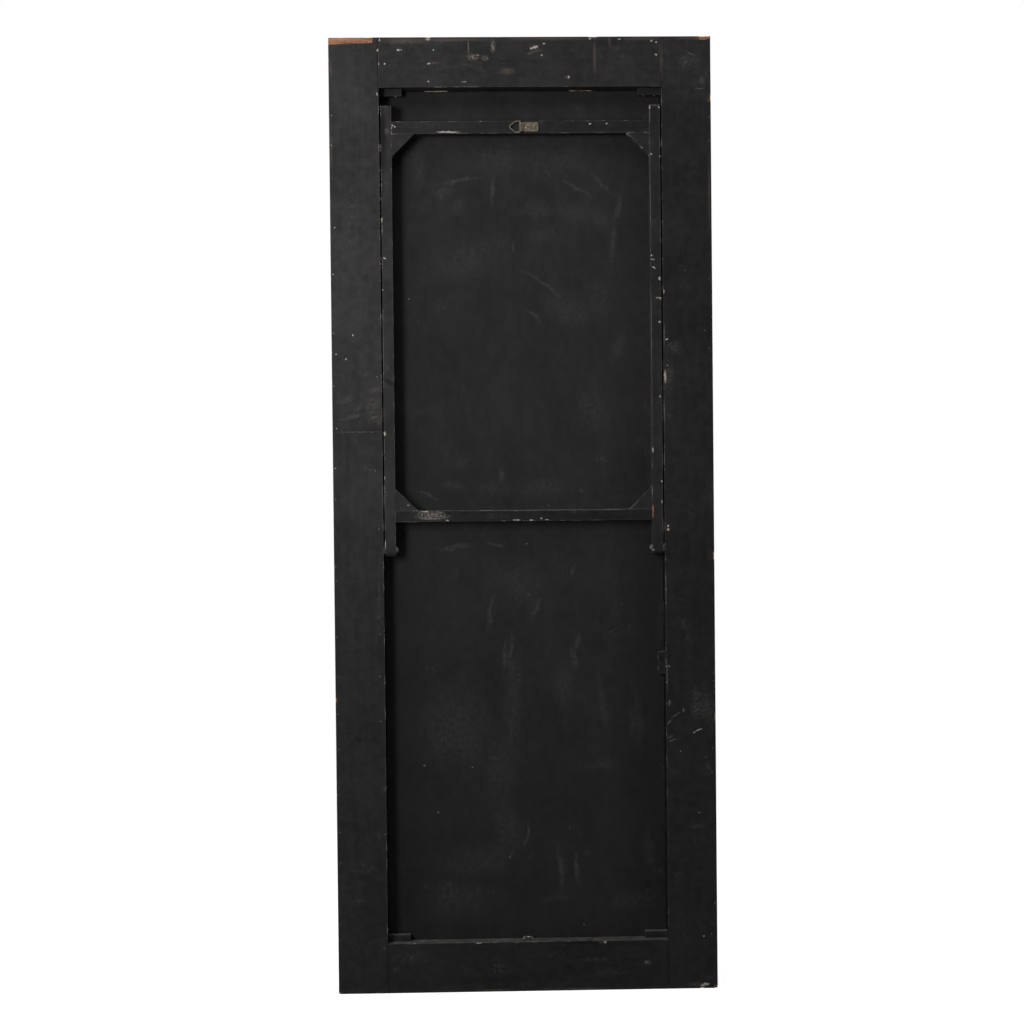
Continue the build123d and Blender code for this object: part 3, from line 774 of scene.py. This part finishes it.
# %% Dress the painted wood: brush direction, and the painted light and shade low down and high up
painted = {
    "stile_left": (UPRIGHT, 0.7, 1.1), "stile_right": (UPRIGHT, 0.68, 0.76),
    "top_rail": (LEVEL, 0.98, 0.98), "bottom_rail": (LEVEL, 0.62, 0.62),
    "easel_leg_left": (UPRIGHT, 1.0, 0.98), "easel_leg_right": (UPRIGHT, 0.85, 0.85),
    "easel_top_rail": (LEVEL, 0.72, 0.72), "easel_bottom_rail": (LEVEL, 0.58, 0.58),
    "gusset_top_left": (LEVEL, 0.8, 0.8), "gusset_top_right": (LEVEL, 0.8, 0.8),
    "gusset_bottom_left": (LEVEL, 0.8, 0.8), "gusset_bottom_right": (LEVEL, 0.8, 0.8),
}
for node, (along, *painted_light_ramp) in painted.items():
    dress(node, black_paint(f"black paint {node}", along, wear.get(node), painted_light_ramp=painted_light_ramp))
blocks = [name for name in nodes if name.startswith("block_") and name != "block_nails"]
# The blocks sit in the recess corners, so their tone is made darker as painted shade.
block_paint = black_paint("black paint blocks", LEVEL, rub=0.2, painted_light_ramp=(0.6, 0.7))
for name in blocks:
    dress(name, block_paint)
print("black paint on", len(painted) + len(blocks), "pieces")

# %% [markdown]
# The backboard is a thin board under flat black paint, wiped and knocked over the years. It has no sheen to speak
# of. Up close it shows faint upright streaks, cloudy wiping marks, and long curved scuffs from things that leaned
# on it. The noted smears are soft, turned ellipses, filled with drawn-out noise so that they look wiped.

# %% Material: backboard
board_smears = [
    (168, 245, 12, 34), (215, 290, 16, 9, 20), (243, 318, 10, 13, -25), (250, 268, 34, 3, 8),
    (311, 285, 3, 22, -6), (470, 282, 30, 3, -32), (522, 275, 26, 3, -42), (523, 278, 5, 2.5, -42),
    (350, 397, 3, 11), (405, 375, 22, 9, 5), (400, 325, 40, 12), (470, 330, 40, 14, -12), (520, 350, 22, 18),
    (552, 322, 4, 26, -18), (542, 390, 5, 34, -5), (410, 470, 46, 2.2, -34), (386, 532, 18, 3, -40),
    (515, 500, 24, 34), (550, 590, 8, 26, -14), (460, 520, 40, 24, -30), (250, 420, 60, 30, 15),
    (330, 230, 50, 26, 10), (430, 230, 60, 30), (500, 710, 30, 40), (180, 872, 18, 3, -22),
    (230, 855, 22, 8, -10), (312, 862, 26, 14), (322, 835, 5, 9), (400, 860, 40, 14), (477, 866, 5, 4, -40),
    (312, 973, 14, 2.2, -14), (230, 975, 26, 4, 6), (460, 1022, 4, 10, -20), (373, 1066, 7, 2.2, 45),
    (350, 1045, 44, 34, -20), (300, 1100, 4, 28, -10), (337, 1175, 4, 24, -10), (326, 1178, 3, 20, -6),
    (389, 1095, 4, 18, -20), (465, 1165, 5, 16, -12), (459, 1192, 5, 14, 10), (340, 1300, 14, 90),
    (515, 1275, 7, 50, 8), (582, 1300, 7, 44, 6), (572, 1320, 6, 26), (440, 1240, 20, 40),
    (230, 1330, 60, 70, 10), (510, 1400, 30, 12), (310, 1400, 30, 60), (330, 1520, 20, 50, 12),
    (270, 1585, 60, 26, 10), (230, 1655, 50, 34), (430, 1600, 5, 34, 6), (462, 1600, 4, 26, 8),
    (365, 1533, 3, 22, -6), (335, 1570, 6, 3, 55), (420, 1655, 26, 6, 4), (560, 1665, 26, 16),
    (600, 1560, 9, 26, 6), (604, 1588, 6, 6),
]
board_dots = [(147, 495), (370, 969), (168, 1397), (261, 1401), (474, 1710), (332, 1577), (194, 1488), (413, 896)]
BOARD_DARK = grey(0.0083)
BOARD_FADED = colour(0.0158, 0.0158, 0.0159)
RECESS_HALF = 0.27
THROUGH = 60.0
SMEAR_RIM, BOARD_DOT, BOARD_DOT_RIM = 0.98, (1.5, 1.4), 0.4
NARROW, NARROW_STRENGTH, BROAD_STRENGTH = 6.0, 0.75, 0.35


def smear_mask(place, note):
    strength = NARROW_STRENGTH if min(note[2:4]) < NARROW else BROAD_STRENGTH
    return times(note_mask(place, note, THROUGH, SMEAR_RIM), strength)


def board_material():
    material, shader, place = start_material("flat black board")
    coat = use(brushed_coat, position=place, stretch=(1.0, 1.0, 0.2), fineness=420.0)
    drawn_out = vectors("MULTIPLY", place, (1.0, 1.0, 0.7))
    clouds = ramp(grain_noise(drawn_out, 11.0, detail=6.0, rough=0.62), 0.28, 0.78)
    mottle = ramp(grain_noise(drawn_out, 55.0, detail=5.0, rough=0.6), 0.3, 0.7)
    fade = times_plus(coat["Streaks"], 0.2, times_plus(mottle, 0.3, times(clouds, 0.5)))
    tone = blend(fade, BOARD_DARK, BOARD_FADED)
    inner = put("SeparateXYZ", {0: place}).outputs
    from_side = minus(RECESS_HALF, maths("ABSOLUTE", inner[0]))
    # Painted light and shade on the board: darker near the recess sides, lighter towards the right as seen from the
    # back, and darker low down.
    tone = scaled(tone, ramp(from_side, 0.02, 0.12, 0.74, 1.0))
    tone = scaled(tone, ramp(inner[0], 0.2, -0.2, 0.98, 1.17))
    tone = scaled(tone, ramp(inner[2], 0.3, 1.2, 0.8, 1.0))
    # Painted shadow of the top rail: a darker band just under it.
    tone = scaled(tone, ramp(inner[2], 1.68, 1.725, 1.0, 0.78))

    swayed = use(shaken, position=place, shake=0.006, grit=28.0)["Position"]
    smears = reduce(larger, [smear_mask(swayed, note) for note in board_smears])
    wiped = ramp(grain_noise(place, 120.0, detail=6.0, rough=0.7), 0.25, 0.75)
    tone = laid(tone, times(smears, wiped), 0.6, SCUFFED)

    hairs = larger(use(fine_scratches, position=place, turn=0.2, amount=0.5)["Mask"],
                   use(fine_scratches, position=place, turn=0.95, amount=0.4, fineness=240.0)["Mask"])
    tone = laid(tone, hairs, 0.4, SCUFFED)
    rough_place = use(shaken, position=place)["Position"]
    dots = use(specks, position=place, spacing=0.045, dot_size=0.0006, share=0.3)["Mask"]
    noted = [note_mask(rough_place, (*dot, *BOARD_DOT), THROUGH, BOARD_DOT_RIM) for dot in board_dots]
    dots = reduce(larger, noted, dots)
    tone = laid(tone, dots, 0.8, WORN_GREY)
    tone = blend(use(corner_dust, position=place, reach=0.03, amount=0.05)["Mask"], tone, DUST)
    gloss = ramp(coat["Streaks"], 0.0, 1.0, 0.56, 0.66)
    finish_surface(shader, tone, gloss, PAINT_SPECULAR, coat["Height"], bump=0.35, lift=0.0004)
    return material


dress("backboard", board_material())
print(len(board_smears), "smears on the backboard")

# %% [markdown]
# The front. The photo doesn't show it, so it is the plain front that such a frame has: moulded wood in the same
# black, laid on more carefully, with more shine and with brown wood rubbed through on the high members. The
# brush went along each length, so the side pieces and the cross pieces differ in direction.

# %% Material: front moulding
FRONT_DARK = colour(0.010, 0.010, 0.0105)
FRONT_FADED = colour(0.021, 0.0205, 0.020)
FRONT_WOOD = colour(0.22, 0.10, 0.05)
FRONT_THIN = colour(0.05, 0.034, 0.026)
FRONT_SPECULAR = 0.4


def front_finish(name, along):
    material, shader, place = start_material(name)
    coat = use(brushed_coat, position=place, stretch=along, fineness=1300.0)
    clouds = ramp(grain_noise(place, 14.0, detail=4.0), 0.3, 0.7)
    tone = blend(times_plus(coat["Streaks"], 0.2, times(clouds, 0.5)), FRONT_DARK, FRONT_FADED)
    edge = use(worn_edge, position=place, reach=0.002, amount=0.62, grit=240.0)
    wood = use(wood_fibre, position=place, stretch=along, light_wood=FRONT_WOOD, dark_wood=BARE_DARK)
    tone = laid(tone, edge["Nearness"], 0.35, FRONT_THIN)
    tone = blend(edge["Mask"], tone, wood["Color"])
    tone = laid(tone, use(fine_scratches, position=place, turn=0.3, amount=0.3)["Mask"], 0.3, SCUFFED)
    dots = use(specks, position=place, spacing=0.04, dot_size=0.0006, share=0.3)["Mask"]
    tone = laid(tone, dots, 0.6, RUBBED)
    dust = use(corner_dust, position=place, reach=0.008, amount=0.3)["Mask"]
    tone = blend(dust, tone, DUST)
    worn = times_plus(edge["Mask"], 0.35, times(dust, 0.4))
    gloss = plus(ramp(coat["Streaks"], 0.0, 1.0, 0.27, 0.38), worn)
    finish_surface(shader, tone, gloss, FRONT_SPECULAR, coat["Height"], bump=0.3, lift=0.0003)
    return material


upright_front = front_finish("front paint upright", UPRIGHT)
level_front = front_finish("front paint level", LEVEL)
for side in ("left", "right"):
    dress(f"moulding_{side}", upright_front)
for end in ("top", "bottom"):
    dress(f"moulding_{end}", level_front)
print("front paint on 4 lengths of moulding")

# %% [markdown]
# The glass. Silvering is a mirror metal behind glass, so a smooth metal with a faint cool tint does it. Old silvering
# dies from the edge inwards: grey freckles, thickest near the frame and at the bottom, where damp gets in. The bevel
# is real geometry; a slightly darker tint on it is painted shade, standing in for the darker reflection that the
# slanted bevel would catch.

# %% Material: silvered glass
GLASS_TINT = colour(0.86, 0.885, 0.88)
# Painted shade for the bevel.
BEVEL_PAINTED_SHADE = colour(0.78, 0.82, 0.81)
FRECKLE = colour(0.16, 0.15, 0.13)
FRECKLED_FROM, FRECKLED_TO = 0.055, 0.012
BEVEL_EDGE = 0.025


def glass_material():
    material, shader, place = start_material("silvered glass")
    low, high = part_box("mirror_glass")
    half = (high - low) / 2
    inner = put("SeparateXYZ", {0: vectors("SUBTRACT", place, (low + high) / 2)}).outputs
    from_side = minus(half.x, maths("ABSOLUTE", inner[0]))
    from_end = minus(half.z, maths("ABSOLUTE", inner[2]))
    from_edge = maths("MINIMUM", from_side, from_end)
    freckle = grain_noise(place, 260.0, detail=7.0, rough=0.72)
    patches = grain_noise(place, 13.0, detail=3.0)
    pull = plus(times(freckle, 0.75), times(patches, 0.45))
    nearness = ramp(from_edge, FRECKLED_FROM, FRECKLED_TO, 0.0, 0.16)
    spots = ramp(plus(pull, nearness), 0.79, 0.87)
    # The bevel band gets the darker tint: painted shade standing in for its reflection.
    clear = blend(ramp(from_edge, BEVEL_EDGE + 0.5 * MM, BEVEL_EDGE - 0.5 * MM), GLASS_TINT, BEVEL_PAINTED_SHADE)
    haze = ramp(grain_noise(place, 5.0, detail=5.0), 0.45, 0.8)
    give(shader.inputs["Base Color"], laid(clear, spots, 0.8, FRECKLE))
    shader.inputs["Metallic"].default_value = 1.0
    give(shader.inputs["Roughness"], times_plus(spots, 0.3, times_plus(haze, 0.03, 0.012)))
    return material


dress("mirror_glass", glass_material())
print("silvered glass with old edges")

# %% [markdown]
# Metal parts. The strap and its ring are brass gone brown, the pivot screws and washers are dull iron, and the
# staple is iron wire that was painted over with everything else. All three share one recipe: clean metal where
# it rubs, tarnish or old paint elsewhere. Metal and tarnish differ in the Metallic value, so that follows the mask.

# %% Materials: brass, iron and painted wire
METAL_SPECULAR = 0.3
COVERED_METALLIC, COVERED_ROUGH = 0.15, 0.62


def old_metal(name, clean, dull, amount, blotch, shine):
    material, shader, place = start_material(name)
    skin = use(tarnish, position=place, size=blotch, amount=amount)
    edge = use(worn_edge, position=place, reach=0.0009, amount=0.7, grit=900.0)
    rubbed = larger(edge["Mask"], times(edge["Nearness"], 0.5))
    covered = times(skin["Mask"], minus(1.0, rubbed))
    give(shader.inputs["Metallic"], ramp(covered, 0.0, 1.0, 1.0, COVERED_METALLIC))
    gloss = ramp(covered, 0.0, 1.0, shine, COVERED_ROUGH)
    finish_surface(shader, blend(covered, clean, dull), gloss, METAL_SPECULAR, skin["Grain"], bump=0.35, lift=0.0002)
    return material


brass = old_metal("aged brass", colour(0.16, 0.13, 0.09), colour(0.034, 0.029, 0.023), 0.85, 0.004, 0.36)
iron = old_metal("dull iron", colour(0.16, 0.155, 0.15), colour(0.02, 0.018, 0.017), 0.8, 0.004, 0.42)
wire = old_metal("painted wire", colour(0.18, 0.175, 0.17), grey(0.014), 0.8, 0.003, 0.4)
for name in ("hanger_ring", "hanger_strap", "hanger_screws"):
    dress(name, brass)
for name in nodes:
    if name.startswith("pivot_") or name.endswith(("_nails", "_pins")):
        dress(name, iron)
dress("tie_staple", wire)
print("3 metals")

# %% Material: bare softwood of the wedges
SOFTWOOD_LIGHT = colour(0.6, 0.46, 0.3)
SOFTWOOD_DARK = colour(0.36, 0.23, 0.12)
PLAIN_SPECULAR, RAW_ROUGH = 0.5, 0.75


def softwood_material():
    material, shader, place = start_material("bare softwood")
    wood = use(wood_fibre, position=place, stretch=UPRIGHT, light_wood=SOFTWOOD_LIGHT, dark_wood=SOFTWOOD_DARK)
    dust = use(corner_dust, position=place, reach=0.01, amount=0.5)["Mask"]
    tone = blend(dust, wood["Color"], DUST)
    finish_surface(shader, tone, RAW_ROUGH, PLAIN_SPECULAR, wood["Height"], bump=0.4, lift=0.0004)
    return material


dress("glass_wedges", softwood_material())
print("softwood on the wedges")

# %% [markdown]
# Soft arrises. Nothing made of wood has razor edges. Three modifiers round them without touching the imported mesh:
# Weld joins the loose triangles, Decimate merges flat ones, and Bevel rounds what is left. A Weighted Normal
# modifier then keeps the wide faces flat to the eye. Glued joints get the same small bevel, and so show as the fine
# dark lines that old paint cracks along.

# %% Rounded edges
SHARP, FLAT = math.radians(35.0), math.radians(0.5)


def modify(node, name, kind, **options):
    """Adds a modifier to a node and sets its options."""
    modifier = nodes[node].modifiers.new(name, kind)
    for option, value in options.items():
        setattr(modifier, option, value)


def soften(node, radius):
    """Rounds a node's sharp edges with modifiers."""
    modify(node, "join", "WELD", merge_threshold=0.01 * MM)
    modify(node, "merge flat faces", "DECIMATE", decimate_type="DISSOLVE", angle_limit=FLAT)
    modify(node, "arris", "BEVEL", width=radius, segments=3, limit_method="ANGLE", angle_limit=SHARP,
           miter_outer="MITER_ARC")


arris = {"stile_": 0.9 * MM, "top_rail": 0.9 * MM, "bottom_rail": 0.9 * MM, "easel_": 1.0 * MM, "gusset_": 0.6 * MM,
         "block_": 0.8 * MM, "moulding_": 0.35 * MM}
rounded = []
for start, radius in arris.items():
    for name in sorted(nodes):
        if name.startswith(start) and not name.endswith(("nails", "pins")):
            soften(name, radius)
            rounded.append(name)
print(len(rounded), "pieces with rounded edges")

# %% [markdown]
# Missing wood. A chip is cut with a Boolean against a lumpy stone, and the torn sliver at the top left corner
# against a thin slab with a wavy underside, drawn out along the break so that its floor looks splintered. The
# cutters are hidden and ride on the frame. Every wobble comes from fixed noise, so each run gives the same chips.

# %% Cut the chips and the torn strip
def hide_cutter(form, name):
    """Makes a hidden object from a form. It rides on the frame."""
    mesh = bpy.data.meshes.new(name)
    form.to_mesh(mesh)
    form.free()
    cutter = bpy.data.objects.new(name, mesh)
    bpy.context.scene.collection.objects.link(cutter)
    cutter.hide_render = True
    cutter.hide_viewport = True
    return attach(cutter, "frame")


LUMPINESS = 0.35
OVERHANG, PROUD = 1.5, 2.0


def stone(name, centre, half_size):
    """A lumpy ellipsoid."""
    form = bmesh.new()
    bmesh.ops.create_icosphere(form, subdivisions=3, radius=1.0)
    for corner in form.verts:
        lump = wobble.noise(corner.co * 1.7 + centre * 90.0) + 0.5 * wobble.noise(corner.co * 4.0 + centre * 50.0)
        spread = corner.co * (1.0 + LUMPINESS * lump)
        corner.co = centre + Vector(a * b for a, b in zip(spread, half_size))
    return hide_cutter(form, name)


def cut_away(node, cutter):
    modify(node, "missing wood", "BOOLEAN", operation="DIFFERENCE", object=cutter, solver="EXACT")


def splintered_slab(name, columns=56, rows=9):
    """A slab over the top left corner, with a wavy lower edge and an uneven underside."""
    form = bmesh.new()
    layers = []
    for face in (True, False):
        grid = []
        for column in range(columns + 1):
            across = (STRIP_LENGTH + OVERHANG) * column / columns - OVERHANG
            ragged = wobble.noise(Vector((across * 0.35, 3.0, 0.0)))
            lower = STRIP_HEIGHT - STRIP_TAPER * across / STRIP_LENGTH + ragged
            line = []
            for row in range(rows + 1):
                down = (lower + OVERHANG) * row / rows - OVERHANG
                fibre = wobble.noise(Vector((across * 0.09, down * 0.9, 7.0)))
                floor = STRIP_DEPTH * (1.0 + 0.55 * fibre)
                line.append(form.verts.new(on_back(across, down, -PROUD if face else floor)))
            grid.append(line)
        layers.append(grid)
    top, under = layers
    for column in range(columns):
        for row in range(rows):
            for grid in (top, under):
                near, far = grid[column], grid[column + 1]
                form.faces.new((near[row], far[row], far[row + 1], near[row + 1]))
    for line, other in ((top[0], under[0]), (top[-1], under[-1])):
        for row in range(rows):
            form.faces.new((line[row], line[row + 1], other[row + 1], other[row]))
    for row in (0, rows):
        for column in range(columns):
            form.faces.new((top[column][row], top[column + 1][row], under[column + 1][row], under[column][row]))
    bmesh.ops.recalc_face_normals(form, faces=form.faces)
    return hide_cutter(form, name)


cut_away("stile_left", splintered_slab("torn_strip_cutter"))
for number, (node, across, down, half_wide, half_tall, deep) in enumerate(chips):
    cutter = stone(f"chip_cutter_{number}", on_back(across, down), Vector((half_wide, deep, half_tall)) * MM)
    cut_away(node, cutter)
for name in rounded:
    modify(name, "steady shading", "WEIGHTED_NORMAL", weight=50)
print(len(chips) + 1, "cuts")

# %% [markdown]
# The studio. One tall soft box stands to the left of the camera and does most of the work, so shadows fall to the
# right, deep beside upright edges. A square one high above the mirror lights the level faces and draws the soft
# shadows under the rails. A third lights the glass side. The floor is plain and pale. It shows white to the camera
# and to reflections away from the mirror, and takes a soft shadow near it. The world is white for the camera and
# for reflections, and dim as a lamp.

# %% Lamps
def soft_box(name, place, target, wide, tall, power):
    data = bpy.data.lights.new(name, "AREA")
    data.shape = "RECTANGLE"
    data.size = wide
    data.size_y = tall
    data.energy = power
    lamp = bpy.data.objects.new(name, data)
    bpy.context.scene.collection.objects.link(lamp)
    lamp.location = place
    lamp.visible_camera = False
    look_at(lamp, target)


soft_box("key", place=(1.36, 1.46, 1.44), target=(0.0, back_y, 0.95), wide=0.52, tall=1.2, power=60.0)
soft_box("top light", place=(0.19, 0.98, 3.09), target=(0.0, 0.0, 1.0), wide=1.1, tall=1.1, power=23.0)
soft_box("front fill", place=(-1.5, -1.9, 1.7), target=(0.0, 0.0, 0.9), wide=1.2, tall=1.6, power=50.0)
print("3 lamps")

# %% World and floor
AMBIENT = 0.055
WHITE, FLOOR_GREY, FLOOR_GLOW = grey(1.0), grey(0.4), 0.8
SHADOW_TO, WHITE_FROM = 0.9, 2.2


def seen_directly():
    """1 for rays that show a surface to the camera, by themselves, in gloss or through glass, and 0 for others."""
    path = put("LightPath").outputs
    return larger(larger(path["Is Camera Ray"], path["Is Glossy Ray"]), path["Is Transmission Ray"])


def studio_world():
    world = bpy.data.worlds.new("studio")
    bpy.context.scene.world = world
    clear_bench(world)
    strength = times_plus(seen_directly(), 1.0 - AMBIENT, AMBIENT)
    light = put("Background", {"Color": WHITE, "Strength": strength})
    put("OutputWorld", {"Surface": light.outputs[0]})


def floor_material():
    material = bpy.data.materials.new("pale floor")
    clear_bench(material)
    away = ramp(vectors("LENGTH", put("TexCoord").outputs["Object"]), SHADOW_TO, WHITE_FROM)
    matt = put("BsdfDiffuse", {"Color": FLOOR_GREY})
    glow = put("Emission", {"Color": WHITE, "Strength": FLOOR_GLOW})
    near = put("AddShader", {0: matt.outputs[0], 1: glow.outputs[0]})
    white = put("Emission", {"Color": WHITE, "Strength": 1.0})
    shown = put("MixShader", {0: away, 1: near.outputs[0], 2: white.outputs[0]})
    surface = put("MixShader", {0: seen_directly(), 1: matt.outputs[0], 2: shown.outputs[0]})
    put("OutputMaterial", {"Surface": surface.outputs[0]})
    return material


def add_floor(half=12.0):
    mesh = bpy.data.meshes.new("floor")
    corners = [(-half, -half, 0), (half, -half, 0), (half, half, 0), (-half, half, 0)]
    mesh.from_pydata([Vector(c) for c in corners], [], [(0, 1, 2, 3)])
    mesh.materials.append(floor_material())
    floor = bpy.data.objects.new("floor", mesh)
    bpy.context.scene.collection.objects.link(floor)
    floor.location.z = -0.5 * MM


studio_world()
add_floor()
bpy.context.scene.view_settings.view_transform = "Standard"
print("world and floor")
